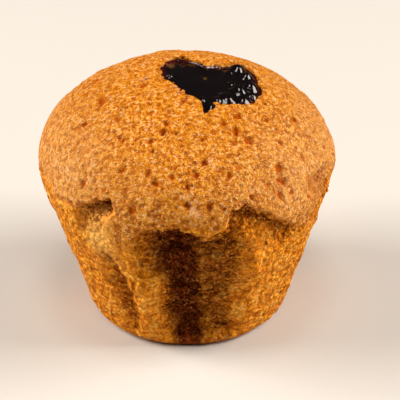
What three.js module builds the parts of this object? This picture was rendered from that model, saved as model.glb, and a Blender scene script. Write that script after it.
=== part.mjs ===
// A jam-topped muffin, standing on its underside: one baked sponge, and a plug of berry jam in a pocket in its crown.
// Millimetres, +Z up. The origin is the middle of the underside, and the front faces -Y.
// An azimuth is in degrees round the vertical axis, 0 at the front and 90 at +X.
import * as THREE from "three";

// Sponge
const crownDiameter = 78; // at the widest ring
const crownStart = 43.5; // height of the widest ring
const fullHeight = 69.7; // top of the crown, as if the pocket were filled
const baseDiameter = 52; // before the bottom edge is rounded off
const baseEdgeRadius = 3;
const ringRounding = 3; // how gently the skirt turns upright to meet the widest ring
const crownLean = 2.2; // how far the top of the crown sits towards -X
const crownPower = 1.54; // how squarely the crown turns over from its top to its side
const crownRoundness = 0.465;
const shoulderShare = 0.565; // share of the crown's rise where its rows start to gather round the jam
const lipEdge = 2.2; // height over which a hollow cuts in under the crown's lip
const footFade = 8; // height above the underside over which hollows and ribs die out

// Jam and its pocket
const jamCentre = new THREE.Vector2(6.5, -2.5);
const jamDiameter = 25.2; // across the mean outline
const jamDepth = 14; // from the crown at the jam's centre down to the jam's underside
const jamSink = 1.1; // how far the jam's edge lies below the crust
const jamHollow = 0.9; // how much lower the jam's middle lies than its edge
const jamClearance = 0.3; // gap between the jam and the sponge, all round and beneath
const jamFootShare = 0.55; // width of the jam's underside as a share of its top
const jamMound = { x: 13, y: -4, spread: 9, rise: 1.7, edge: 0.33 }; // a thick lump at the +X side

// How finely the surfaces are faceted
const segments = 96;
const edgeRows = 3;
const skirtRows = 18;
const skirtRowGathering = 1.6; // more than 1 draws the skirt's rows up towards the lip
const shoulderRows = 7;
const crownRows = 7;
const wallRows = 4;
const floorRows = 3;
const jamTopRows = 5;

// The lower edge of the crown, where it hangs over the skirt: at these azimuths, its height over the widest ring.
const lipLine = [
  [-52, 0.5],
  [-46, 1.7],
  [-41, 3.2],
  [-32, 6.4],
  [-25, -5.2],
  [-20, -1.8],
  [-14, 0.9],
  [-9, 1],
  [-4, 2.8],
  [3, 1.8],
  [11, 0.7],
  [18, 6],
  [23, 6.3],
  [28, 4.6],
  [37, 0.1],
  [46, -4.4],
  [58, -9],
  [80, -0.5],
  [101, 4],
  [122, -1.5],
  [146, 5],
  [162, 0.5],
  [184, -3.5],
  [207, 3.5],
  [226, 0.5],
  [247, 5.5],
  [268, -1],
  [288, 1.5],
];

// Hollows under the lip. Each runs between two azimuths, with edges that many degrees wide, and has its depth, the
// height over which it dies out below the lip, the share of its depth that carries on to the foot, and how far it
// drifts in degrees a mm below the lip.
const hollows = [
  { from: -52, to: -25, edges: [13, 5], depth: 5, reach: 8, keep: 0, drift: -0.33 },
  { from: -23, to: 6, edges: [8, 9], depth: 5, reach: 70, keep: 0.8, drift: 0.25 },
  { from: -21, to: 36, edges: [9, 20], depth: 3.2, reach: 30, keep: 0.35, drift: 0.1 },
  { from: 9, to: 60, edges: [9, 15], depth: 5, reach: 9, keep: 0.05, drift: 0 },
  { from: 84, to: 120, edges: [13, 13], depth: 3.8, reach: 12, keep: 0.15, drift: 0.2 },
  { from: 132, to: 165, edges: [12, 12], depth: 4.4, reach: 26, keep: 0.45, drift: 0 },
  { from: 190, to: 224, edges: [12, 12], depth: 4, reach: 14, keep: 0.2, drift: -0.2 },
  { from: 230, to: 265, edges: [13, 13], depth: 4.2, reach: 22, keep: 0.4, drift: 0 },
];

// Upright ribs that stand proud of the skirt, and grooves that sink into it: azimuth, half its width in degrees, how
// far it stands proud (negative for a groove), its foot's height, and how far below the widest ring its head is.
const ribs = [
  { azimuth: -33, half: 6, proud: -1.3, foot: 2, head: 12 },
  { azimuth: -24.5, half: 5, proud: 1.6, foot: 2, head: 5 },
  { azimuth: 22, half: 5, proud: 1.4, foot: 22, head: 4 },
  { azimuth: 33, half: 7, proud: 0.8, foot: 8, head: 8 },
  { azimuth: 75, half: 6, proud: -1.2, foot: 6, head: 5.5 },
  { azimuth: 128, half: 6, proud: 1.2, foot: 3, head: 3.5 },
  { azimuth: 172, half: 6, proud: 1.1, foot: 3, head: 5.5 },
  { azimuth: 226, half: 6, proud: 1.2, foot: 5, head: 3.5 },
  { azimuth: 285, half: 7, proud: -1.4, foot: 8, head: 5.5 },
];

// The jam's outline: its radius as a share of the mean, at these azimuths round the jam's own centre.
const jamOutline = [
  [-138, 1.17],
  [-112, 1.12],
  [-88, 1.03],
  [-64, 0.86],
  [-46, 0.91],
  [-22, 0.86],
  [-12, 0.93],
  [-3, 1.14],
  [9, 0.9],
  [30, 0.92],
  [50, 1.02],
  [100, 1.02],
  [147, 1.17],
  [166, 0.66],
  [198, 0.5],
];

const crownRadius = crownDiameter / 2;
const baseRadius = baseDiameter / 2;
const crownRise = fullHeight - crownStart;
const shoulderHeight = crownStart + shoulderShare * crownRise;
const skirtSlope = (crownRadius - baseRadius) / (Math.hypot(crownStart, ringRounding) - ringRounding);
const leanPasses = 4; // enough for a leaning point's height to settle

const smooth = (t) => THREE.MathUtils.smoothstep(t, 0, 1);
const bump = (t) => (Math.abs(t) < 1 ? (1 - t * t) ** 2 : 0);
const turnOnFrom = (start, azimuth) => THREE.MathUtils.euclideanModulo(azimuth - start, 360);
const turnAbout = (middle, azimuth) => turnOnFrom(middle - 180, azimuth) - 180;

// The level direction that faces an azimuth.
function outward(azimuth) {
  const angle = THREE.MathUtils.degToRad(azimuth);
  return new THREE.Vector2(Math.sin(angle), -Math.cos(angle));
}

// A value that runs smoothly through [azimuth, value] pairs, all the way round.
function around(pairs, azimuth) {
  const nearest = (turn) => pairs.reduce((a, b) => (turn(b[0]) < turn(a[0]) ? b : a));
  const before = nearest((at) => turnOnFrom(at, azimuth));
  const after = nearest((at) => turnOnFrom(azimuth, at));
  const gap = turnOnFrom(before[0], after[0]);
  if (gap === 0) return before[1];
  return THREE.MathUtils.lerp(before[1], after[1], smooth(turnOnFrom(before[0], azimuth) / gap));
}

const lipHeight = (azimuth) => crownStart + around(lipLine, azimuth);

// How wide the plain round sponge is at a height, before the crown leans and the skirt is hollowed.
function plainRadius(height) {
  if (height >= crownStart) {
    const share = Math.min(1, (height - crownStart) / crownRise);
    return crownRadius * (1 - share ** (1 / crownRoundness)) ** (1 / crownPower);
  }
  const below = Math.hypot(crownStart - height, ringRounding) - ringRounding;
  const corner = Math.max(0, 1 - height / baseEdgeRadius);
  return crownRadius - skirtSlope * below - baseEdgeRadius * (1 - Math.sqrt(1 - corner * corner));
}

// How far towards -X the crown has leant by a share of its rise.
const leanAt = (share) => crownLean * share * share;

// The crown's height over a point.
function crownHeight(x, y) {
  let share = 0;
  for (let pass = 0; pass < leanPasses; pass++) {
    const out = Math.min(1, Math.hypot(x + leanAt(share), y) / crownRadius);
    share = (1 - out ** crownPower) ** crownRoundness;
  }
  return crownStart + crownRise * share;
}

// How far the skirt stands in from the plain round shape, or out where it is negative.
function skirtRelief(azimuth, height) {
  const below = lipHeight(azimuth) - height;
  const cuts = hollows.map((hollow) => {
    const turn = turnAbout(hollow.from, azimuth - hollow.drift * Math.max(0, below));
    const across = smooth(turn / hollow.edges[0]) * smooth((hollow.to - hollow.from - turn) / hollow.edges[1]);
    const left = hollow.keep + (1 - hollow.keep) * Math.exp(-((below / hollow.reach) ** 2));
    return hollow.depth * across * left;
  });
  const proud = ribs.map((rib) => {
    const top = crownStart - rib.head;
    const along = (2 * height - top - rib.foot) / (top - rib.foot);
    return rib.proud * bump(turnAbout(rib.azimuth, azimuth) / rib.half) * bump(along);
  });
  const standing = proud.reduce((sum, value) => sum + value, 0);
  return (Math.max(...cuts) - standing) * smooth(below / lipEdge) * smooth(height / footFade);
}

// A point on the sponge's side at a height.
function sidePoint(azimuth, height) {
  const share = Math.max(0, (height - crownStart) / crownRise);
  const side = outward(azimuth).multiplyScalar(plainRadius(height) - skirtRelief(azimuth, height));
  return new THREE.Vector3(side.x - leanAt(share), side.y, height);
}

// Radius of the jam's outline.
const jamRadius = (azimuth) => (jamDiameter / 2) * around(jamOutline, azimuth);

// Radius of the same outline grown by a gap, which takes a longer step where the outline runs steeply in or out.
function grownJamRadius(azimuth, gap) {
  const nudge = 1;
  const run = THREE.MathUtils.degToRad(2 * nudge) * jamRadius(azimuth);
  const steepness = (jamRadius(azimuth + nudge) - jamRadius(azimuth - nudge)) / run;
  return jamRadius(azimuth) + gap * Math.hypot(1, steepness);
}

// A point on the crown between the shoulder (share 0) and the pocket's edge (share 1).
function crownPoint(azimuth, share) {
  const shoulder = sidePoint(azimuth, shoulderHeight);
  const edge = outward(azimuth).multiplyScalar(grownJamRadius(azimuth, jamClearance)).add(jamCentre);
  const at = new THREE.Vector2(shoulder.x, shoulder.y).lerp(edge, share);
  return new THREE.Vector3(at.x, at.y, crownHeight(at.x, at.y));
}

// A point on the jam's side, or on the pocket's wall when grown by a gap. width is a share of the outline's radius,
// and drop the share of the way from the jam's edge down to its underside.
function plugPoint(azimuth, width, drop, gap) {
  const edge = outward(azimuth).multiplyScalar(jamRadius(azimuth)).add(jamCentre);
  const rim = crownHeight(edge.x, edge.y) - jamSink;
  const foot = crownHeight(jamCentre.x, jamCentre.y) - jamDepth;
  const at = outward(azimuth).multiplyScalar(width * grownJamRadius(azimuth, gap)).add(jamCentre);
  return new THREE.Vector3(at.x, at.y, THREE.MathUtils.lerp(rim, foot, drop) - gap * drop);
}

// A point on the jam's top, at a share of the outline's radius.
function jamTopPoint(azimuth, share) {
  const at = outward(azimuth).multiplyScalar(jamRadius(azimuth) * share).add(jamCentre);
  const away = Math.hypot(at.x - jamMound.x, at.y - jamMound.y) / jamMound.spread;
  const lump = jamMound.rise * bump(away) * smooth((1 - share) / jamMound.edge);
  const dip = jamHollow * (1 - share * share);
  return new THREE.Vector3(at.x, at.y, crownHeight(at.x, at.y) - jamSink - dip + lump);
}

// The jam's side from the middle of its underside to its top edge, as [width, drop] pairs.
function plugCourse() {
  const course = [];
  for (let i = 0; i < floorRows; i++) course.push([(jamFootShare * i) / floorRows, 1]);
  for (let i = 0; i <= wallRows; i++) {
    const up = i / wallRows;
    course.push([THREE.MathUtils.lerp(jamFootShare, 1, Math.sin((up * Math.PI) / 2)), 1 - up]);
  }
  return course;
}

// A closed surface from rows of points, the first and last of them on one spot: a lathe gives the faces, and each
// row's own rule gives its points.
function surfaceOf(rows) {
  const profile = rows.map((rowPoint, i) => new THREE.Vector2(i > 0 && i < rows.length - 1 ? 1 : 0, i));
  const geometry = new THREE.LatheGeometry(profile, segments).rotateX(Math.PI / 2);
  const position = geometry.getAttribute("position");
  for (let i = 0; i < position.count; i++) {
    const azimuth = (360 * (Math.floor(i / rows.length) % segments)) / segments;
    const point = rows[i % rows.length](azimuth);
    position.setXYZ(i, point.x, point.y, point.z);
  }
  geometry.computeVertexNormals();
  return geometry;
}

function spongeGeometry() {
  const rows = [];
  for (const share of [0, 0.5]) {
    rows.push((azimuth) => sidePoint(azimuth, 0).multiplyScalar(share));
  }
  for (let i = 0; i < edgeRows; i++) {
    const height = baseEdgeRadius * (1 - Math.cos((i / edgeRows) * (Math.PI / 2)));
    rows.push((azimuth) => sidePoint(azimuth, height));
  }
  for (let i = 0; i <= skirtRows; i++) {
    const drop = (1 - i / skirtRows) ** skirtRowGathering;
    rows.push((azimuth) => sidePoint(azimuth, THREE.MathUtils.lerp(lipHeight(azimuth), baseEdgeRadius, drop)));
  }
  for (let i = 1; i <= shoulderRows; i++) {
    const rise = i / shoulderRows;
    rows.push((azimuth) => sidePoint(azimuth, THREE.MathUtils.lerp(lipHeight(azimuth), shoulderHeight, rise)));
  }
  for (let i = 1; i <= crownRows; i++) rows.push((azimuth) => crownPoint(azimuth, i / crownRows));
  for (const [width, drop] of plugCourse().reverse()) {
    rows.push((azimuth) => plugPoint(azimuth, width, drop, jamClearance));
  }
  return surfaceOf(rows);
}

function jamGeometry() {
  const rows = plugCourse().map(([width, drop]) => (azimuth) => plugPoint(azimuth, width, drop, 0));
  for (let i = jamTopRows - 1; i >= 0; i--) rows.push((azimuth) => jamTopPoint(azimuth, i / jamTopRows));
  return surfaceOf(rows);
}

const crust = new THREE.MeshStandardMaterial({ color: 0xd08a35, roughness: 0.8, metalness: 0 });
const berryJam = new THREE.MeshStandardMaterial({ color: 0x1c0b10, roughness: 0.12, metalness: 0 });

function part(name, geometry, material) {
  const mesh = new THREE.Mesh(geometry, material);
  mesh.name = name;
  return mesh;
}

const muffin = new THREE.Group();
muffin.add(part("sponge", spongeGeometry(), crust));
muffin.add(part("jam", jamGeometry(), berryJam));

export default muffin;
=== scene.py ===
import math

import bpy
import numpy as np
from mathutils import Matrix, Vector


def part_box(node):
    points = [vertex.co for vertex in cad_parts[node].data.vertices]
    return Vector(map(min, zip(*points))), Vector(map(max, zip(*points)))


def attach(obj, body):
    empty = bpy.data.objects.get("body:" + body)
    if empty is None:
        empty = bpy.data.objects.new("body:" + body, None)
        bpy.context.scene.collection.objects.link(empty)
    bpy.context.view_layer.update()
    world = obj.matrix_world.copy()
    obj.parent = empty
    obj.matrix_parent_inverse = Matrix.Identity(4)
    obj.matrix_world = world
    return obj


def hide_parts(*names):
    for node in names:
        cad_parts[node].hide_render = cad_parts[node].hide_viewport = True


# A jam-topped muffin: a baked sponge with a browned, porous crown over a torn, crumbly skirt, and a pool of
# thick berry jam in the crown. Shapes are worked out in millimetres round the vertical axis and stored in
# metres. An azimuth is in degrees, 0 at the front (-Y) and 90 at +X.

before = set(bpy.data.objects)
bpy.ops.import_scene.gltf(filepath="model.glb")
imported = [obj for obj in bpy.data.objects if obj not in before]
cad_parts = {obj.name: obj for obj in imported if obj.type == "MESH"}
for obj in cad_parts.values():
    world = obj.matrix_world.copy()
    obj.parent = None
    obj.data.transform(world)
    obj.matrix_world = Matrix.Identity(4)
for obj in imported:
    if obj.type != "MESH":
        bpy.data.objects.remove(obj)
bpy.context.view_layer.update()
spongeLow, spongeHigh = (np.array(corner) * 1000 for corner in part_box("sponge"))
print("frame loaded, sponge box in mm:", spongeLow.round(1), spongeHigh.round(1))

muffin = {
    "crownRadius": (spongeHigh[0] - spongeLow[0]) / 2,
    "crownStart": 43.5,                  # height of the widest ring
    "fullHeight": spongeHigh[2] + 0.5,   # the crown closed over its pocket
    "baseRadius": 26.0,
    "baseEdge": 3.0,                     # rounding of the bottom edge
    "ringRounding": 3.0,                 # the skirt turns upright below the widest ring
    "lean": 2.2,                         # the crown's top sits this far towards -X
    "power": 1.54,                       # how squarely the crown turns over
    "roundness": 0.465,
}


def smooth(t):
    # 3t^2 - 2t^3 between 0 and 1
    t = np.clip(t, 0, 1)
    return t * t * (3 - 2 * t)


def bump(t):
    # (1 - t^2)^2 between -1 and 1, nothing outside
    return np.clip(1 - t * t, 0, 1) ** 2


def turnAbout(middle, azimuth):
    # degrees from the middle to the azimuth, from -180 to 180
    return (azimuth - middle + 180) % 360 - 180


def around(pairs, azimuth):
    # a value that runs smoothly through (azimuth, value) pairs, all the way round
    at = np.array([pair[0] for pair in pairs], float)
    value = np.array([pair[1] for pair in pairs], float)
    turned = (azimuth - at[0]) % 360
    steps = np.append(at - at[0], 360)
    i = np.clip(np.searchsorted(steps, turned, side="right") - 1, 0, len(pairs) - 1)
    share = smooth((turned - steps[i]) / (steps[i + 1] - steps[i]))
    return value[i] + (value[(i + 1) % len(pairs)] - value[i]) * share


def outward(azimuth):
    # the level direction (sin a, -cos a) of an azimuth
    angle = np.radians(azimuth)
    return np.stack([np.sin(angle), -np.cos(angle)], axis=-1)


def cellRandom(cells, seed):
    # one number from 0 to 1 for each whole-number cell, the same on every run
    low32 = 0xFFFFFFFF      # the whole numbers are kept to their lowest 32 bits
    c = cells.astype(np.int64)
    mixed = c[..., 0] * 374761393 + c[..., 1] * 668265263 + c[..., 2] * 1103515245 + seed * 144269504
    mixed = mixed & low32
    mixed = ((mixed ^ (mixed >> 13)) * 1274126177) & low32
    mixed = ((mixed ^ (mixed >> 16)) * 1911520717) & low32
    return (mixed ^ (mixed >> 15)) / low32


def solidNoise(points, size, seed, octaves=1):
    # smoothly blended random corner values on a lattice of that size in mm, halved at each octave: -1 to 1
    total, weight = 0, 0
    for octave in range(octaves):
        scaled = points / (size / 2 ** octave) + 17.3 * octave
        cell = np.floor(scaled)
        share = smooth(scaled - cell)
        value = 0
        for dx in (0, 1):
            for dy in (0, 1):
                for dz in (0, 1):
                    corner = np.where([dx, dy, dz], share, 1 - share).prod(axis=-1)
                    value = value + corner * cellRandom(cell + (dx, dy, dz), seed + octave)
        total = total + (2 * value - 1) / 2 ** octave
        weight += 1 / 2 ** octave
    return total / weight


def layeredNoise(points, layers):
    # the sum of noises: each one's height times the noise of its size
    return sum(high * solidNoise(points, size, seed, octaves) for high, size, seed, octaves in layers)


def pitNoise(points, size, radii, share, seed):
    # one ball at a random spot in that share of the cells: 1 at a ball's middle, 0 at its surface and outside
    cell = np.floor(points / size)
    deepest = np.zeros(points.shape[:-1])
    for dx in (-1, 0, 1):
        for dy in (-1, 0, 1):
            for dz in (-1, 0, 1):
                near = cell + (dx, dy, dz)
                spot = np.stack([cellRandom(near, seed + k) for k in range(3)], axis=-1)
                radius = radii[0] + (radii[1] - radii[0]) * cellRandom(near, seed + 3) ** 2
                away = np.linalg.norm(points - (near + spot) * size, axis=-1)
                ball = np.clip(1 - (away / radius) ** 2, 0, 1) * (cellRandom(near, seed + 4) < share)
                deepest = np.maximum(deepest, ball)
    return deepest


def gridNormals(points):
    # across the columns times along the rows, on a grid that closes round its columns
    across = np.roll(points, -1, 1) - np.roll(points, 1, 1)
    along = np.gradient(points, axis=0)
    normal = np.cross(across, along)
    return normal / np.linalg.norm(normal, axis=2, keepdims=True).clip(1e-9)


def addMesh(name, vertices, quads, triangles, values, spread=None):
    # a smooth mesh of four- and three-sided faces, with a value of each kind for every vertex and, if it is
    # given, a map that holds one place for every face corner
    mesh = bpy.data.meshes.new(name)
    mesh.vertices.add(len(vertices))
    mesh.vertices.foreach_set("co", (vertices / 1000).astype(np.float32).ravel())
    mesh.loops.add(quads.size + triangles.size)
    corners = np.concatenate([quads.ravel(), triangles.ravel()])
    mesh.loops.foreach_set("vertex_index", corners.astype(np.int32))
    mesh.polygons.add(len(quads) + len(triangles))
    starts = np.concatenate([np.arange(len(quads)) * 4, quads.size + np.arange(len(triangles)) * 3])
    mesh.polygons.foreach_set("loop_start", starts.astype(np.int32))
    mesh.update(calc_edges=True)
    mesh.shade_smooth()
    for label, value in values.items():
        layer = mesh.attributes.new(label, "FLOAT", "POINT")
        layer.data.foreach_set("value", value.astype(np.float32).ravel())
    if spread is not None:
        mesh.uv_layers.new(name="OFBake").uv.foreach_set("vector", spread.astype(np.float32).ravel())
    piece = bpy.data.objects.new(name, mesh)
    bpy.context.scene.collection.objects.link(piece)
    return piece


def polarMesh(name, points, first, last, values):
    # rows of points round the axis, closed round the columns and by one point at each end; the map runs round
    # with the columns, and along with the mean distance between the rows
    rows, columns = points.shape[:2]
    j = np.arange(columns)
    k = (j + 1) % columns
    low = (np.arange(rows - 1) * columns)[:, None]
    quads = np.stack([low + j, low + k, low + columns + k, low + columns + j], axis=-1).reshape(-1, 4)
    foot, top, final = rows * columns, rows * columns + 1, (rows - 1) * columns
    triangles = np.concatenate([
        np.stack([np.full(columns, foot), k, j], axis=-1),
        np.stack([final + j, final + k, np.full(columns, top)], axis=-1),
    ])
    ends = [np.broadcast_to(end, (1, columns, 3)) for end in (first, last)]
    steps = np.diff(np.concatenate([ends[0], points, ends[1]]), axis=0)
    along = np.cumsum(np.linalg.norm(steps, axis=2).mean(axis=1))
    along = along / along[-1]
    left, right, middle, flat = j / columns, (j + 1) / columns, (j + 0.5) / columns, 0 * j
    lower = np.broadcast_to(along[:-2, None], (rows - 1, columns))
    upper = np.broadcast_to(along[1:-1, None], (rows - 1, columns))
    lefts, rights = (np.broadcast_to(side, lower.shape) for side in (left, right))
    spread = np.stack([lefts, lower, rights, lower, rights, upper, lefts, upper], axis=-1).reshape(-1, 2)
    fans = np.concatenate([
        np.stack([middle, flat, right, flat + along[0], left, flat + along[0]], axis=-1).reshape(-1, 2),
        np.stack([left, flat + along[-2], right, flat + along[-2], middle, flat + 1], axis=-1).reshape(-1, 2),
    ])
    ended = {}
    for label, grid in values.items():
        ended[label] = np.append(grid.ravel(), [grid[0].mean(), grid[-1].mean()])
    vertices = np.concatenate([points.reshape(-1, 3), [first], [last]])
    return addMesh(name, vertices, quads, triangles, ended, np.concatenate([spread, fans]))


sponge = {
    "columns": 560,
    "edgeRows": 6,
    "skirtRows": 62,
    "ledgeRows": 16,
    "shoulderRows": 29,
    "crownRows": 46,
    "wallRows": 10,
    "shoulderShare": 0.565,   # up the crown's rise, where the rows turn to run across it
    "footFade": 8.0,          # hollows fade out over this height above the foot
    "ledgeMost": 9.0,         # the step under the lip is never higher than this
    "deepAt": 5.0,            # a hollow this deep is torn the most
    "standingFrom": 2.5,      # nothing is roughened on the flat underside, and all of it from this height up
    "shiftMost": 0.4,         # the roughened crust stays within the crown's own width
    "steepCalm": 0.5,         # how much calmer the relief is where the lip runs steeply
    "tearGain": (0.65, 0.8),  # the crumb's tears: their share at the skirt, and what a deep hollow adds
    "noseAt": (-28, 30),      # the nose beside the left hollow: its azimuth, and how far round it is felt
    # degrees the nose leans towards -X at its tip, then the heights of its root, tip and foot
    "noseLean": (6.5, 51, 36, 23),
    # the crumb starts this far below the lip, and is whole this much further down
    "crumbBand": (-0.4, 2.2),
    # the lip's own tears: the middle of their band below the lip, and half its width
    "lipBand": (0.3, 2.8),
    # the unbrowned crumb in the left hollow: azimuth, half-width in degrees, height, half-height
    "paleAt": (-33, 13, 38, 13),
    # the band up the crown where the painted sheen shows: height, half-height
    "sheenBand": (50, 17),
    # crumbs cling where a hollow's share of the deepest passes this, and fully this much further on; then how
    # readily they cling to torn crumb away from the lip, and at the jam's rim
    "clingBand": (0.12, 0.3),
    "clingTorn": 1.2,
    "clingRim": 0.25,
    # uneven relief: mm high, mm across, seed, octaves
    "lipWobble": [(0.8, 4.5, 21, 1), (0.64, 1.8, 22, 1)],
    "swell": [(0.6, 17, 31, 2), (0.36, 6, 33, 1)],
    "crustGrain": [(0.16, 1.9, 35, 1), (0.14, 1.0, 36, 1)],
    "crumbTears": [(0.6, 5.5, 71, 2), (0.45, 2.4, 73, 1), (0.3, 1.3, 75, 1)],
    "lipTears": [(0.5, 2.2, 77, 1), (0.3, 1.2, 78, 1)],
    # how a hollow's edge strays, in degrees, and how its depth varies, as a share; both are read off a
    # cylinder of the radius below
    "stray": [(2.6, 6, 91, 1), (1.56, 2.4, 92, 1)],
    "unevenDepth": [(0.3, 4.5, 93, 1)],
    "readAt": 33.0,
    # burst bubbles: steepness of a pit's side, mm between them, least and largest radius, share, seed
    "pits": (2.2, 4.4, (0.5, 1.4), 0.75, 41),
    "finePits": (2.0, 2.1, (0.35, 0.85), 0.8, 51),
    "pitDepths": {"crust": (0.8, 0.35), "crumb": (0.6, 0.4)},     # mm, of the pits and the fine pits
    "finePore": 0.6,          # how dark a fine pit is beside a large one
    "pitWarp": (0.55, 1.7, 61),      # mm by which a pit's outline strays, mm across, first seed
    # the crown's ragged lower edge: azimuth, height over the widest ring
    "lipLine": [
        (-52, 0.5), (-46, 1.7), (-41, 3.8), (-35, 6.4), (-29.5, 7.0), (-26.5, 4.6), (-21.5, -7.5),
        (-17.5, -3.2), (-15, 0.8), (-9, 1), (-4, 2.8), (3, 1.8), (10, 0.6), (13, 1.6), (17, 5.9),
        (22, 6.4), (28, 4.6), (37, 0.1), (46, -4.4), (58, -9), (80, -0.5), (101, 4), (122, -1.5),
        (146, 5), (162, 0.5), (184, -3.5), (207, 3.5), (226, 0.5), (247, 5.5), (268, -1), (288, 1.5),
    ],
    # azimuth, and how high the step under the lip is: sharp where the crown tore off, soft where it swelled
    "ledgeLine": [
        (-45, 1.4), (-28, 1.2), (-20, 2), (-8, 3), (6, 7), (12, 5), (17, 1.8), (34, 1.6), (50, 2.4),
        (100, 1.6), (150, 3), (205, 1.6), (250, 3),
    ],
    # hollows under the crown: from and to azimuth, widths of both edges in degrees, depth, reach below the
    # lip, share of the depth kept to the foot, drift in degrees a mm, how dark it is painted (painted shade,
    # with some real browning), and the height over the widest ring of a lip of its own, if it has one
    "hollows": [
        (-46, -26.4, 9, 4, 5.4, 8, 0.0, 0, 0.6, None),
        (-40, -25.5, 8, 4, 1.5, 24, 0.3, 0, 0.55, -11),
        (-20.5, 11, 11, 13, 6.0, 70, 0.85, 0.14, 1.0, None),
        (-18, 27, 12, 13, 3.4, 40, 0.5, 0.1, 0.66, None),
        (9, 58, 7, 17, 4.4, 6.5, 0.05, 0, 0.5, None),
        (52, 74, 3.5, 9, 3.2, 11, 0.0, 0.2, 0.65, 6.5),
        (66, 84, 6, 6, 2.6, 8, 0.0, 0, 0.5, 2.5),
        (84, 120, 13, 13, 4.0, 12, 0.15, 0.2, 0.6, None),
        (132, 165, 12, 12, 4.6, 26, 0.45, 0, 0.8, None),
        (190, 224, 12, 12, 4.2, 14, 0.2, -0.2, 0.6, None),
        (230, 265, 13, 13, 4.4, 22, 0.4, 0, 0.8, None),
    ],
    # ribs, and grooves where they are negative: azimuth, half-width in degrees, mm proud, foot's height, and
    # how far the head is below the widest ring
    "ribs": [
        (-22, 6, 1.6, 1, 9), (-31, 6, -1.5, 1, 13), (26, 6, 1.8, 20, 7), (33, 7, 0.8, 8, 8),
        (75, 6, -1.2, 6, 5.5), (128, 6, 1.2, 3, 3.5), (172, 6, 1.1, 3, 5.5), (226, 6, 1.2, 5, 3.5),
        (285, 7, -1.4, 8, 5.5),
    ],
    # how strong the painted sheen on the lower crown is, most where it faces the side lamps: azimuth, share
    "sheenLine": [
        (-90, 0.7), (-55, 1), (-28, 0.35), (0, 0.1), (24, 0.4), (45, 1), (75, 0.9), (140, 0.4), (200, 0.6),
    ],
    # the largest burst bubbles in the crown: place, radius and depth in mm; a place's own height counts only
    # this far out, where the crown is too steep to drop it onto
    "flankFrom": 35.0,
    "bigPitSide": 1.8,        # steepness of its side
    "bigPits": [
        (-8, -34, 54, 1.2, 1.1), (-10, -32, 56, 1.1, 1.0), (-4, -33, 57, 1.0, 0.7), (-22, -9, 63, 1.5, 0.9),
        (-6, -23, 63, 1.2, 1.1), (-5, -21, 64, 1.0, 1.0), (-9, -25, 61, 1.0, 0.8), (-16, -23, 60, 0.9, 0.8),
        (-17, -22, 59, 0.7, 0.8), (-26, -13, 60, 1.0, 0.8), (-26, -27, 51, 1.2, 1.0), (-24, 5, 62, 1.8, 0.8),
        (-13, 8, 66, 1.9, 0.7), (-18, -16, 63, 0.9, 0.7), (2, -33, 57, 1.1, 0.8), (12, -21, 63, 1.2, 1.0),
        (12, -22, 62, 1.0, 1.0), (23, -26, 54, 1.5, 1.1), (10, -32, 56, 1.2, 0.8), (23, -30, 49, 1.2, 1.0),
        (20, -31, 52, 1.1, 0.7), (20, -15, 62, 1.1, 0.8), (9, -20, 64, 1.3, 0.8), (5, -37, 50, 1.3, 0.9),
        (23, -20, 59, 0.9, 0.8), (24, -28, 52, 1.2, 0.9), (0, -35, 54, 0.9, 0.8),
        (27, 12, 58, 1.3, 0.9), (8, 27, 60, 1.5, 1.0), (-14, 26, 60, 1.2, 0.9), (-31, 14, 55, 1.4, 1.0),
        (34, 8, 50, 1.2, 0.9), (19, 29, 52, 1.1, 0.9), (-4, 35, 53, 1.3, 1.1), (-27, 25, 50, 1.1, 0.9),
    ],
}

jam = {
    "centre": (6.5, -2.5),
    "radius": 12.6,
    "sink": 0.9,          # how far its edge lies below the crust
    "hollow": 0.9,        # how much lower the pool's middle lies
    "depth": 14.0,
    "clearance": 0.3,     # between its foot and the pocket's
    "soak": 0.25,         # how far it soaks into the crumb
    "footShare": 0.55,
    "columns": 288,
    "topRows": 60,
    "wallRows": 14,
    "rowCrowding": 0.8,   # the top's rows crowd towards its edge
    "creep": (0.5, 0.07),     # mm it creeps up the torn edge, and over what share of its radius
    # shares of the radius over which these fade at the edge
    "edgeBands": {"lumps": 0.05, "wrinkles": 0.1, "thin": 0.18},
    "lumpyFrom": (6, 5),      # x where the lumpy right part starts, and over how many mm
    # uneven relief: mm high (or out, for the tears of its edge), mm across, seed, octaves
    "tears": [(0.45, 2.6, 11, 1), (0.18, 1.0, 12, 1)],
    "lumpyWrinkles": [(0.24, 2.6, 81, 2)],
    "wrinkles": [(0.22, 4.5, 83, 1)],
    # its outline: azimuth round its own centre, radius as a share of the mean
    "outline": [
        (-138, 1.17), (-112, 1.12), (-88, 1.03), (-64, 0.86), (-46, 0.91), (-24, 0.87), (-16, 0.95),
        (-9, 1.24), (-2, 1.12), (7, 0.91), (30, 0.92), (50, 1.02), (100, 1.02), (149, 1.2), (167, 0.62),
        (198, 0.5),
    ],
    # thick lumps of fruit under its skin: place over the crown, radius and rise in mm
    "lumps": [
        (13.5, -5.5, 3.6, 2.0), (16.5, -1.5, 3.0, 1.9), (15.5, 3.6, 2.8, 1.7), (10.2, -9.3, 3.4, 1.4),
        (14.6, -9.3, 2.8, 1.5), (17.3, 1.4, 1.9, 1.2), (11.8, -1.8, 2.0, 0.9), (6.2, -13.6, 2.0, 0.9),
        (13.4, 8.3, 2.7, 1.7), (7.6, -10.8, 1.8, 0.8), (-5.8, 1.6, 1.8, 0.8), (-4.6, -2.4, 1.3, 0.7),
        (11.2, 4.6, 1.8, 0.9), (4.2, -11.4, 1.3, 0.6), (16.8, -6.2, 1.6, 1.0),
    ],
}


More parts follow.
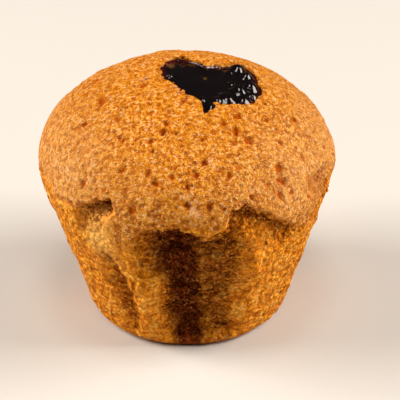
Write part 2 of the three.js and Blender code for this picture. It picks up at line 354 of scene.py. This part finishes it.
def plainRadius(height):
    # above the widest ring R (1 - s^(1/roundness))^(1/power), where s is the share of the crown's rise;
    # below it a cone that turns upright at the ring, with its bottom edge rounded off
    m = muffin
    share = np.clip((height - m["crownStart"]) / (m["fullHeight"] - m["crownStart"]), 0, 1)
    crown = m["crownRadius"] * (1 - share ** (1 / m["roundness"])) ** (1 / m["power"])
    turn = m["ringRounding"]
    slope = (m["crownRadius"] - m["baseRadius"]) / (math.hypot(m["crownStart"], turn) - turn)
    below = np.hypot(np.maximum(m["crownStart"] - height, 0), turn) - turn
    corner = np.clip(1 - height / m["baseEdge"], 0, 1)
    skirt = m["crownRadius"] - slope * below - m["baseEdge"] * (1 - np.sqrt(1 - corner * corner))
    return np.where(height >= m["crownStart"], crown, skirt)


def crownHeight(x, y):
    # the crown's height over a point; the lean needs a few passes to settle
    m = muffin
    share = np.zeros(np.broadcast(x, y).shape)
    for _ in range(4):
        out = np.clip(np.hypot(x + m["lean"] * share ** 2, y) / m["crownRadius"], 0, 1)
        share = (1 - out ** m["power"]) ** m["roundness"]
    return m["crownStart"] + (m["fullHeight"] - m["crownStart"]) * share


def skirtRelief(azimuth, height, lip, ledge):
    # how far the skirt stands in: the deepest hollow less the ribs, cut in under the lip and faded at the
    # foot, and with it how dark the darkest hollow is painted there: painted shade, with some real browning
    way = outward(azimuth) * sponge["readAt"]
    at = np.stack(np.broadcast_arrays(way[..., 0], way[..., 1], height), axis=-1)
    strayed = azimuth + layeredNoise(at, sponge["stray"])
    uneven = 1 + layeredNoise(at, sponge["unevenDepth"])
    cut = np.zeros(at.shape[:-1])
    brown = np.zeros(cut.shape)
    for start, end, edgeFrom, edgeTo, depth, reach, keep, drift, hollowShadeAndBrowning, ownLip in sponge["hollows"]:
        below = (lip if ownLip is None else muffin["crownStart"] + ownLip) - height
        turn = turnAbout(start, strayed - drift * np.maximum(0, below))
        across = smooth(turn / edgeFrom) * smooth((end - start - turn) / edgeTo)
        lasting = keep + (1 - keep) * np.exp(-(below / reach) ** 2)
        under = smooth(below / ledge)
        cut = np.maximum(cut, depth * uneven * across * lasting * under)
        # painted shade, with some real browning: darkest across a hollow's middle, just below the step under
        # its lip
        brown = np.maximum(brown, hollowShadeAndBrowning * across * np.sqrt(lasting) * under)
    for middle, half, proud, foot, head in sponge["ribs"]:
        top = muffin["crownStart"] - head
        along = bump((2 * height - top - foot) / (top - foot))
        cut = cut - proud * bump(turnAbout(middle, strayed) / half) * along * smooth((lip - height) / ledge)
    fade = smooth(height / sponge["footFade"])
    return cut * fade, brown


def noseTurn(azimuth, height):
    # degrees by which the crown's nose leans over the hollow beside it: a bump round the nose, growing from
    # its root down to its tip and fading from there to its foot
    middle, half = sponge["noseAt"]
    most, root, tip, foot = sponge["noseLean"]
    way = smooth((root - height) / (root - tip)) * smooth((height - foot) / (tip - foot))
    return most * bump(turnAbout(middle, azimuth) / half) * way


def jamEdge(azimuth):
    # the torn outline's radius: the mean radius times the outline's share, plus finer tears
    way = outward(azimuth)
    ring = np.stack([way[..., 0], -way[..., 1], 0 * azimuth], axis=-1) * jam["radius"]
    return jam["radius"] * around(jam["outline"], azimuth) + layeredNoise(ring, jam["tears"])


def buildSponge():
    # turned about the axis: the plain radius less the relief up the side, straight lines in to the torn edge
    # over the crown, and the pocket's wall; then every point goes out along its normal by the crust's or the
    # crumb's relief, which is noise less the pits
    s, m = sponge, muffin
    azimuth = np.arange(s["columns"]) * 360 / s["columns"]
    way = outward(azimuth)
    ring = np.stack([way[:, 0], way[:, 1], 0 * azimuth], axis=-1) * m["crownRadius"]
    lip = m["crownStart"] + around(s["lipLine"], azimuth) + layeredNoise(ring, s["lipWobble"])
    # where the lip runs steeply its step is spread up it, so that the step stays as wide
    columnWidth = math.radians(360 / s["columns"]) * m["crownRadius"]
    steep = (np.roll(lip, -2) - np.roll(lip, 2)) / (4 * columnWidth)
    ledge = np.minimum(around(s["ledgeLine"], azimuth) * np.hypot(1, steep), s["ledgeMost"])
    ledge = (ledge + np.roll(ledge, 1) + np.roll(ledge, -1)) / 3
    shoulder = m["crownStart"] + s["shoulderShare"] * (m["fullHeight"] - m["crownStart"])

    # heights of the rows up the side: rounded bottom edge, skirt, ledge under the lip, and up to the shoulder
    edge = m["baseEdge"] * (1 - np.cos(np.linspace(0, math.pi / 2, s["edgeRows"], endpoint=False)))
    edge = np.repeat(edge[:, None], s["columns"], 1)
    up = np.linspace(0, 1, s["skirtRows"], endpoint=False)[:, None]
    skirt = m["baseEdge"] + (lip - ledge - m["baseEdge"]) * up
    under = lip - ledge * (1 - np.linspace(0, 1, s["ledgeRows"], endpoint=False)[:, None])
    over = lip + (shoulder - lip) * np.linspace(0, 1, s["shoulderRows"])[:, None]
    height = np.concatenate([edge, skirt, under, over])
    relief, hollowShadeAndBrowning = skirtRelief(azimuth[None, :], height, lip[None, :], ledge[None, :])
    radius = plainRadius(height) - relief
    share = np.clip((height - m["crownStart"]) / (m["fullHeight"] - m["crownStart"]), 0, 1)
    leaning = outward(azimuth - noseTurn(azimuth, height))
    side = radius[..., None] * leaning - np.stack([m["lean"] * share ** 2, 0 * share], axis=-1)
    side = np.concatenate([side, height[..., None]], axis=-1)

    # across the crown, straight from the shoulder to the torn edge of the pocket
    centre = np.array(jam["centre"])
    torn = jamEdge(azimuth)[:, None] * way + centre
    inward = np.linspace(0, 1, s["crownRows"] + 1)[1:, None, None]
    at = side[-1, :, :2] + (torn - side[-1, :, :2]) * inward
    crown = np.concatenate([at, crownHeight(at[..., 0], at[..., 1])[..., None]], axis=-1)

    # down the pocket's wall, inside the jam
    rimHeight = crown[-1, :, 2]
    down = np.linspace(0, 1, s["wallRows"] + 1)[1:, None]
    foot = crownHeight(*centre) - jam["depth"] - jam["clearance"]
    width = 1 - (1 - jam["footShare"]) * down ** 2
    inner = centre + (torn - centre) * width[..., None]
    wall = np.concatenate([inner, (rimHeight + (foot - rimHeight) * down)[..., None]], axis=-1)

    underside = side[:1] * [0.5, 0.5, 0]
    points = np.concatenate([underside, side, crown, wall])
    normal = gridNormals(points)
    grid = points.shape[:2]
    sideRows, wallFrom = slice(1, 1 + len(side)), len(points) - len(wall)

    # where each kind of surface is, as shares from 0 to 1
    below = np.full(grid, -s["ledgeMost"])      # mm below the lip; the rest of the crown is well above it
    below[sideRows] = (lip - height) / np.hypot(1, steep)
    brown, deep, onWall, onRim = (np.zeros(grid) for _ in range(4))
    # the hollows' painted shade, with some real browning
    brown[sideRows] = hollowShadeAndBrowning
    deep[sideRows] = np.clip(relief / s["deepAt"], 0, 1)
    onWall[wallFrom:] = 1
    onRim[wallFrom - 3:wallFrom + 1] = 1
    standing = smooth(points[..., 2] / s["standingFrom"])
    crumbFrom, crumbOver = s["crumbBand"]
    crumb = smooth((below - crumbFrom) / crumbOver) * standing
    crust = (1 - crumb) * (1 - onWall)
    lipAt, lipHalf = s["lipBand"]
    nearLip = bump((below - lipAt) / lipHalf)
    allRound = np.broadcast_to(azimuth, grid)
    paleRound, paleWide, paleUp, paleTall = s["paleAt"]
    pale = bump(turnAbout(paleRound, allRound) / paleWide) * bump((points[..., 2] - paleUp) / paleTall)
    # painted sheen: the lower crown made paler where it faces the side lamps
    sheenUp, sheenTall = s["sheenBand"]
    sugar = around(s["sheenLine"], allRound) * bump((points[..., 2] - sheenUp) / sheenTall)

    # the crown swells and dips a little, its bubbles have burst, and its skirt is torn to crumb
    stray, across, seed = s["pitWarp"]
    warped = points + stray * np.stack([solidNoise(points, across, seed + k) for k in range(3)], axis=-1)
    kinds = (s["pits"], s["finePits"])
    pits, fine = (smooth(sharp * pitNoise(warped, *bubbles)) for sharp, *bubbles in kinds)
    placed, placedDepth = np.zeros(grid), np.zeros(grid)
    for x, y, z, pitRadius, depth in s["bigPits"]:
        up = crownHeight(x, y) if math.hypot(x, y) < s["flankFrom"] else z
        away = np.linalg.norm(warped - (x, y, up), axis=-1)
        ball = smooth(s["bigPitSide"] * (1 - away / pitRadius))
        placed = np.maximum(placed, ball)
        placedDepth = np.maximum(placedDepth, depth * ball)
    pitDepth, fineDepth = s["pitDepths"]["crust"]
    crusty = layeredNoise(points, s["swell"] + s["crustGrain"]) - placedDepth
    crusty = crusty - pitDepth * pits - fineDepth * fine
    pitDepth, fineDepth = s["pitDepths"]["crumb"]
    least, more = s["tearGain"]
    tears = layeredNoise(points, s["crumbTears"]) * (least + more * deep)
    tears = tears - pitDepth * pits - fineDepth * fine
    shift = crust * crusty + crumb * tears + nearLip * layeredNoise(points, s["lipTears"])
    shift[sideRows] /= np.hypot(1, s["steepCalm"] * steep)      # so that nothing folds over
    shift = np.minimum(shift, s["shiftMost"])
    points = points + normal * (shift * standing)[..., None]
    points[..., 2] = np.maximum(points[..., 2], 0)

    pore = np.clip(np.maximum(np.maximum(pits, placed), s["finePore"] * fine), 0, 1)
    values = {
        "crumb": np.clip(crumb + onWall, 0, 1), "pore": pore * standing, "brown": np.clip(brown, 0, 1),
        "pale": pale, "sugar": sugar,
    }
    last = np.array([*centre, foot])
    piece = polarMesh("baked_sponge", points, (0, 0, 0), last, values)
    print("sponge built:", len(piece.data.polygons), "faces")
    # where loose crumbs can cling: most in the hollows and along the torn edges, none below or in the pocket
    clingFrom, clingOver = s["clingBand"]
    cling = crumb * smooth((deep - clingFrom) / clingOver) * (s["clingTorn"] + nearLip)
    cling = (cling + s["clingRim"] * onRim) * (points[..., 2] > s["standingFrom"]) * (1 - onWall)
    return piece, {"points": points, "normals": gridNormals(points), "cling": cling, "values": values}


crumbs = {
    "count": 4600,
    "seed": 7,
    "radii": (0.22, 0.72),    # mm; most are small
    "stretch": (0.7, 1.35),
    "dents": 0.28,            # how far a corner strays, as a share of the radius
    "middleOut": 0.2,         # how far its middle stands off the surface, as a share of its radius
    "smallness": 2.5,         # the higher, the fewer are large
    "crumbLeast": 0.8,        # even one at the rim looks like crumb
    "columns": 6,
    "rings": 3,
}


def buildCrumbs(host):
    # one small ball of a few rings, stretched, dented and turned anew for every crumb: the host's point, plus
    # its normal times what stands out, plus the ball's corners times a random frame
    c = crumbs
    random = np.random.default_rng(c["seed"])
    points, normals = host["points"].reshape(-1, 3), host["normals"].reshape(-1, 3)
    across, along = np.roll(host["points"], -1, 1) - host["points"], np.gradient(host["points"], axis=0)
    odds = (host["cling"] * np.linalg.norm(np.cross(across, along), axis=2)).ravel()     # by area
    chosen = random.choice(len(points), c["count"], replace=False, p=odds / odds.sum())

    tilt = np.repeat(np.linspace(-1, 1, c["rings"] + 2)[1:-1] * math.pi / 2, c["columns"])
    turn = np.tile(np.arange(c["columns"]) * 2 * math.pi / c["columns"], c["rings"])
    ball = np.stack([np.cos(tilt) * np.cos(turn), np.cos(tilt) * np.sin(turn), np.sin(tilt)], axis=-1)
    ball = np.concatenate([ball, [[0, 0, -1], [0, 0, 1]]])
    radius = c["radii"][0] + (c["radii"][1] - c["radii"][0]) * random.random(c["count"]) ** c["smallness"]
    stretch = random.uniform(*c["stretch"], (c["count"], 1, 3))
    dented = ball * stretch * (1 + c["dents"] * random.uniform(-1, 1, (c["count"], len(ball), 1)))
    turned, _ = np.linalg.qr(random.normal(size=(c["count"], 3, 3)))
    turned = turned * np.sign(np.linalg.det(turned))[:, None, None]      # turned, never mirrored
    corners = np.einsum("nij,nkj->nki", turned, dented) * radius[:, None, None]
    middle = points[chosen] + normals[chosen] * (radius * c["middleOut"])[:, None]
    vertices = (middle[:, None] + corners).reshape(-1, 3)

    j = np.arange(c["columns"])
    k = (j + 1) % c["columns"]
    low = (np.arange(c["rings"] - 1) * c["columns"])[:, None]
    high = low + c["columns"]
    sides = np.stack([low + j, low + k, high + k, high + j], axis=-1).reshape(-1, 4)
    final, foot = (c["rings"] - 1) * c["columns"], c["rings"] * c["columns"]
    fans = np.concatenate([
        np.stack([0 * j + foot, k, j], axis=-1),
        np.stack([final + j, final + k, 0 * j + foot + 1], axis=-1),
    ])
    starts = (np.arange(c["count"]) * len(ball))[:, None, None]
    quads, triangles = (sides + starts).reshape(-1, 4), (fans + starts).reshape(-1, 3)
    values = {label: np.repeat(grid.ravel()[chosen], len(ball)) for label, grid in host["values"].items()}
    values["crumb"] = np.maximum(values["crumb"], c["crumbLeast"])
    values["pore"] = 0 * values["pore"]
    piece = addMesh("clinging_crumbs", vertices, quads, triangles, values)
    print("crumbs built:", c["count"], "of", len(sides) + len(fans), "faces each")
    return piece


def buildJam():
    # a wall of outline x (1 - (1 - foot share) (1 - t)^2), closed by a top that follows the crown less a sink
    # and a dip of 1 - share^2, with lumps added as the root of their squares and wrinkles over them
    j = jam
    azimuth = np.arange(j["columns"]) * 360 / j["columns"]
    centre = np.array(j["centre"])
    outline = (jamEdge(azimuth) + j["soak"])[:, None] * outward(azimuth) + centre
    rim = crownHeight(outline[:, 0], outline[:, 1]) - j["sink"]
    foot = crownHeight(*centre) - j["depth"]

    up = np.linspace(0, 1, j["wallRows"])[:, None]
    width = 1 - (1 - j["footShare"]) * (1 - up) ** 2
    side = centre + (outline - centre) * width[..., None]
    wall = np.concatenate([side, (foot + (rim - foot) * up)[..., None]], axis=-1)

    share = np.linspace(1, 0.01, j["topRows"])[1:, None] ** j["rowCrowding"]
    at = centre + (outline - centre) * share[..., None]
    dip = j["hollow"] * (1 - share ** 2)
    creepUp, creepOver = j["creep"]
    creep = creepUp * smooth((share - 1 + creepOver) / creepOver)
    height = crownHeight(at[..., 0], at[..., 1]) - j["sink"] - dip + creep
    lumps = np.zeros(height.shape)
    for x, y, radius, rise in j["lumps"]:
        lump = rise * bump(np.hypot(at[..., 0] - x, at[..., 1] - y) / radius)
        lumps = np.sqrt(lumps ** 2 + lump ** 2)
    bands = j["edgeBands"]
    height = height + lumps * smooth((1 - share) / bands["lumps"])
    top = np.concatenate([at, height[..., None]], axis=-1)
    lumpyFrom, lumpyOver = j["lumpyFrom"]
    lumpy = smooth((at[..., 0] - lumpyFrom) / lumpyOver)
    wrinkle = layeredNoise(top, j["lumpyWrinkles"]) * lumpy + layeredNoise(top, j["wrinkles"])
    top[..., 2] += wrinkle * smooth((1 - share) / bands["wrinkles"])

    points = np.concatenate([wall, top])
    thinTop = smooth((share - 1 + bands["thin"]) / bands["thin"])
    thin = np.concatenate([np.ones(wall.shape[:2]), np.broadcast_to(thinTop, top.shape[:2])])
    last = np.array([*centre, top[-1, :, 2].mean()])
    piece = polarMesh("berry_jam_pool", points, (*centre, foot), last, {"thin": thin})
    print("jam built:", len(piece.data.polygons), "faces")
    return piece


def hexColor(code):
    # an sRGB hex value as a linear colour
    parts = [int(code[i:i + 2], 16) / 255 for i in (1, 3, 5)]
    return [((c + 0.055) / 1.055) ** 2.4 if c > 0.04045 else c / 12.92 for c in parts] + [1.0]


def perMetre(millimetres):
    # a texture's scale for a pattern of that size
    return 1000 / millimetres


def addNode(tree, kind, settings=None, inputs=None):
    # a node with its settings, its input values, and links from the sockets among them
    node = tree.nodes.new("ShaderNode" + kind)
    for key, value in (settings or {}).items():
        setattr(node, key, value)
    for key, value in (inputs or {}).items():
        if isinstance(value, bpy.types.NodeSocket):
            tree.links.new(value, node.inputs[key])
        else:
            node.inputs[key].default_value = value
    return node


spongeLook = {
    # what the mesh says of each point, as buildSponge worked it out
    "attributes": ("crumb", "pore", "brown", "pale", "sugar"),
    # uneven fields: size in mm, finer octaves, and how strong these are
    "noises": {
        "broad": (15, 2, 0.5),      # patches browned more or less
        "patch": (4.5, 3, 0.65),
        "foam": (1.1, 3, 0.95),     # the burst foam's walls and gaps, at every size down to 0.3 mm
        "crumbFoam": (2.3, 3, 0.9),
        "clump": (6.5, 2, 0.6),     # the torn crumb's lumps
        "grit": (0.8, 2, 0.8),
    },
    "cells": {"bubble": 1.8, "crumbBubble": 2.8, "crumbGrain": 1.3},
    # masks: field, where it is 0, where it is 1
    "masks": {
        "browned": ("broad", 0.40, 0.62),
        "sugary": ("patch", 0.60, 0.72),
        "holes": ("bubble", 0.36, 0.16),
        "speck": ("grit", 0.52, 0.64),
        "wall": ("foam", 0.46, 0.56),
        "cave": ("crumbBubble", 0.45, 0.15),
        "gaps": ("crumbGrain", 0.38, 0.7),
        "between": ("clump", 0.50, 0.38),
        "raised": ("clump", 0.52, 0.63),
        # the hollows' painted shade, with some real browning
        "hollow": ("brown", 0.15, 1.0),
    },
    # masks that hold where both of two others do
    # painted highlights: pale specks on the foam's walls
    "both": {"glint": ("speck", "wall")},
    # colours up the foam's walls and up the crumb's lumps, from the gaps to the tops: partly their own
    # mottling, partly painted shade in the low gaps and painted highlight on the raised tops
    "crustRamp": [
        (0.36, "#8E3C02"), (0.43, "#BA5E04"), (0.50, "#DA840C"), (0.57, "#EC9E26"), (0.65, "#FAC678"),
    ],
    "crumbRamp": [
        (0.36, "#9A4A06"), (0.43, "#CC720A"), (0.50, "#EE9416"), (0.56, "#FCAA2C"), (0.64, "#FFC864"),
    ],
    # then layers over each: mask, strength, colour, blend
    "crustLayers": [
        ("browned", 0.3, "#CC7C12", "MIX"),
        ("sugary", 0.45, "#F4C594", "MIX"),
        # painted shade in the bubble holes, which the bump also sinks
        ("holes", 0.65, "#964808", "MIX"),
        # painted sheen where the crown faces the side lamps
        ("sugar", 0.2, "#FFD090", "MIX"),
        # painted highlights
        ("glint", 0.55, "#FFD8B0", "MIX"),
        # the pits' own orange-brown, saturated further as painted light: the warm glow through the crumb into
        # their shade
        ("pore", 0.95, "#C25800", "MIX"),
        # painted shade, with some real browning, where the crust dips into a hollow
        ("hollow", 0.95, "#C2944C", "MULTIPLY"),
    ],
    "crumbLayers": [
        ("between", 0.4, "#CC700A", "MIX"),
        ("raised", 0.3, "#FFA436", "MIX"),
        # painted shade in the gaps between grains and in the bubble holes, which the bump also sinks
        ("gaps", 0.5, "#B45C06", "MIX"),
        ("cave", 0.45, "#98500C", "MIX"),
        ("pale", 0.7, "#FFC668", "MIX"),
        # painted shade, with some real browning, in the hollows
        ("hollow", 1.0, "#805638", "MULTIPLY"),
        # painted highlights on the crumb
        ("glint", 0.5, "#F4B468", "MIX"),
    ],
    # heights in mm that each field adds to the shading
    "crustHeights": [("foam", 0.85), ("grit", 0.2), ("holes", -0.25)],
    "crumbHeights": [("crumbGrain", -0.9), ("crumbFoam", 0.6), ("grit", 0.25), ("cave", -0.3)],
    "roughness": (0.5, 0.8),    # from and to, with the grit
    "specular": 0.06,           # dry crumb has next to no sheen
    "ior": 1.4,
}


def spongeMaterial():
    # baked sponge cake: the crown's sugars have browned to a dry golden crust full of burst bubbles, with
    # painted highlights in warm specks; the skirt is torn open to a coarser crumb, deeper-shadowed, partly by
    # painted shade
    look = spongeLook
    material = bpy.data.materials.new("baked_sponge_crust_and_crumb")
    material.use_nodes = True
    tree = material.node_tree
    tree.nodes.clear()
    place = addNode(tree, "TexCoord").outputs["Object"]
    fields = {}
    for name in look["attributes"]:
        fields[name] = addNode(tree, "Attribute", {"attribute_name": name}).outputs["Fac"]
    for name, (size, octaves, roughness) in look["noises"].items():
        inputs = {"Vector": place, "Scale": perMetre(size), "Detail": octaves, "Roughness": roughness}
        fields[name] = addNode(tree, "TexNoise", None, inputs).outputs["Fac"]
    for name, size in look["cells"].items():
        inputs = {"Vector": place, "Scale": perMetre(size)}
        fields[name] = addNode(tree, "TexVoronoi", None, inputs).outputs["Distance"]
    gently, times = {"interpolation_type": "SMOOTHSTEP"}, {"operation": "MULTIPLY"}
    for name, (field, low, high) in look["masks"].items():
        inputs = {"Value": fields[field], "From Min": low, "From Max": high}
        fields[name] = addNode(tree, "MapRange", gently, inputs).outputs["Result"]
    for name, (one, other) in look["both"].items():
        fields[name] = addNode(tree, "Math", times, {0: fields[one], 1: fields[other]}).outputs[0]

    colors, heights = [], []
    for kind, field in (("crust", "foam"), ("crumb", "crumbFoam")):
        stops = look[kind + "Ramp"]
        ramp = addNode(tree, "ValToRGB", None, {"Fac": fields[field]})
        while len(ramp.color_ramp.elements) < len(stops):
            ramp.color_ramp.elements.new(0.5)
        for element, (at, code) in zip(ramp.color_ramp.elements, stops):
            element.position = at
            element.color = hexColor(code)
        color = ramp.outputs["Color"]
        for mask, strength, code, blend in look[kind + "Layers"]:
            share = addNode(tree, "Math", times, {0: fields[mask], 1: strength}).outputs[0]
            settings = {"data_type": "RGBA", "blend_type": blend}
            color = addNode(tree, "Mix", settings, {0: share, 6: color, 7: hexColor(code)}).outputs[2]
        colors.append(color)
        height = 0.0
        for field, rise in look[kind + "Heights"]:
            inputs = {0: fields[field], 1: rise, 2: height}
            height = addNode(tree, "Math", {"operation": "MULTIPLY_ADD"}, inputs).outputs[0]
        heights.append(height)

    inputs = {0: fields["crumb"], 6: colors[0], 7: colors[1]}
    color = addNode(tree, "Mix", {"data_type": "RGBA"}, inputs).outputs[2]
    inputs = {0: fields["crumb"], 2: heights[0], 3: heights[1]}
    height = addNode(tree, "Mix", {"data_type": "FLOAT"}, inputs).outputs[0]
    inputs = {"Height": height, "Strength": 1.0, "Distance": 0.001}      # the heights are in mm
    bumps = addNode(tree, "Bump", None, inputs)
    low, high = look["roughness"]
    inputs = {"Value": fields["grit"], "To Min": low, "To Max": high}
    rough = addNode(tree, "MapRange", None, inputs).outputs["Result"]
    shader = addNode(tree, "BsdfPrincipled", None, {
        "Base Color": color, "Roughness": rough, "Normal": bumps.outputs["Normal"],
        "IOR": look["ior"], "Specular IOR Level": look["specular"]})
    addNode(tree, "OutputMaterial", None, {"Surface": shader.outputs["BSDF"]})
    return material


jamLook = {
    "deep": "#0E0809",        # where it lies thick
    "thin": "#5E1420",        # where it thins over the crumb
    "grain": 2.2,             # mm
    "ripple": 0.0004,         # metres of bump
    "roughness": 0.07,
    "specular": 0.75,         # wet, so its sheen is stronger than dry skin's
    "ior": 1.4,
}


def jamMaterial():
    # boiled berry jam: wet, glassy and almost black where it lies deep, purple-red where it thins at its edge
    look = jamLook
    material = bpy.data.materials.new("boiled_berry_jam")
    material.use_nodes = True
    tree = material.node_tree
    tree.nodes.clear()
    place = addNode(tree, "TexCoord").outputs["Object"]
    thin = addNode(tree, "Attribute", {"attribute_name": "thin"}).outputs["Fac"]
    inputs = {"Vector": place, "Scale": perMetre(look["grain"]), "Detail": 3.0, "Roughness": 0.6}
    grain = addNode(tree, "TexNoise", None, inputs).outputs["Fac"]
    share = addNode(tree, "Math", {"operation": "MULTIPLY"}, {0: thin, 1: grain}).outputs[0]
    inputs = {0: share, 6: hexColor(look["deep"]), 7: hexColor(look["thin"])}
    color = addNode(tree, "Mix", {"data_type": "RGBA"}, inputs).outputs[2]
    bumps = addNode(tree, "Bump", None, {"Height": grain, "Strength": 0.25, "Distance": look["ripple"]})
    shader = addNode(tree, "BsdfPrincipled", None, {
        "Base Color": color, "Roughness": look["roughness"], "Normal": bumps.outputs["Normal"],
        "IOR": look["ior"], "Specular IOR Level": look["specular"]})
    addNode(tree, "OutputMaterial", None, {"Surface": shader.outputs["BSDF"]})
    return material


studio = {
    "middle": (0, 0, 34),     # mm; everything is placed about this point
    "cameraDistance": 450,
    "cameraElevation": 30,
    "cameraAim": (3.26, -1.66, 31.1),
    "lens": 151.5,
    "sensor": 36,
    "world": 0.03,
    "floorSize": 6.0,         # metres
    "floorColor": "#CFCCC7",
    "floorRoughness": 0.9,
    # name: azimuth, elevation, distance mm, size mm, watts, colour
    "lights": {
        "left_softbox": (-92, 34, 1300, 700, 21.5, "#FFF6EC"),
        "right_softbox": (88, 36, 1300, 700, 21, "#FFF6EC"),
        "top_softbox": (0, 82, 1400, 320, 3.2, "#FFF9F2"),
        "front_fill": (8, 55, 1400, 380, 2.4, "#FFF6EC"),
    },
}


def direction(azimuth, elevation):
    # (sin a cos e, -cos a cos e, sin e)
    a, e = math.radians(azimuth), math.radians(elevation)
    return np.array([math.sin(a) * math.cos(e), -math.cos(a) * math.cos(e), math.sin(e)])


def lookAt(thing, place, target):
    # put a thing at a place in mm, with its -Z towards the target
    thing.location = Vector(place) / 1000
    thing.rotation_euler = (Vector(target) - Vector(place)).to_track_quat("-Z", "Y").to_euler()


def buildStudio():
    # the camera and every light stand at a direction times a distance from the middle, and look at it
    s = studio
    scene = bpy.context.scene
    middle = np.array(s["middle"])
    lens = bpy.data.cameras.new("camera")
    lens.lens = s["lens"]
    lens.sensor_width = s["sensor"]
    lens.clip_start = 0.01
    viewer = bpy.data.objects.new("camera", lens)
    scene.collection.objects.link(viewer)
    lookAt(viewer, middle + direction(0, s["cameraElevation"]) * s["cameraDistance"], s["cameraAim"])
    scene.camera = viewer

    for name, (azimuth, elevation, distance, size, watts, color) in s["lights"].items():
        lamp = bpy.data.lights.new(name, "AREA")
        lamp.size = size / 1000
        lamp.energy = watts
        lamp.color = hexColor(color)[:3]
        holder = bpy.data.objects.new(name, lamp)
        scene.collection.objects.link(holder)
        lookAt(holder, middle + direction(azimuth, elevation) * distance, middle)

    world = bpy.data.worlds.new("studio")
    world.use_nodes = True
    world.node_tree.nodes["Background"].inputs["Strength"].default_value = s["world"]
    world.node_tree.nodes["Background"].inputs["Color"].default_value = (1, 1, 1, 1)
    scene.world = world
    scene.view_settings.view_transform = "Standard"     # keeps the crust as saturated as it is

    half = s["floorSize"] / 2
    mesh = bpy.data.meshes.new("floor")
    square = [(-half, -half, 0), (half, -half, 0), (half, half, 0), (-half, half, 0)]
    mesh.from_pydata(square, [], [(0, 1, 2, 3)])
    floor = bpy.data.objects.new("floor", mesh)
    scene.collection.objects.link(floor)
    paint = bpy.data.materials.new("pale_matte_floor")
    paint.use_nodes = True
    sockets = paint.node_tree.nodes["Principled BSDF"].inputs
    sockets["Base Color"].default_value = hexColor(s["floorColor"])
    sockets["Roughness"].default_value = s["floorRoughness"]
    mesh.materials.append(paint)
    print("studio built:", len(s["lights"]), "lights")


bakedSponge, spongeGrid = buildSponge()
clingingCrumbs = buildCrumbs(spongeGrid)
spongeCake = spongeMaterial()
bakedSponge.data.materials.append(spongeCake)
clingingCrumbs.data.materials.append(spongeCake)
berryJam = buildJam()
berryJam.data.materials.append(jamMaterial())
buildStudio()

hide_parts("sponge")
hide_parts("jam")
slots = [(bakedSponge, "crust_and_crumb"), (clingingCrumbs, "crust_and_crumb"), (berryJam, "berry_jam")]
for piece, slot in slots:
    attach(piece, "root")
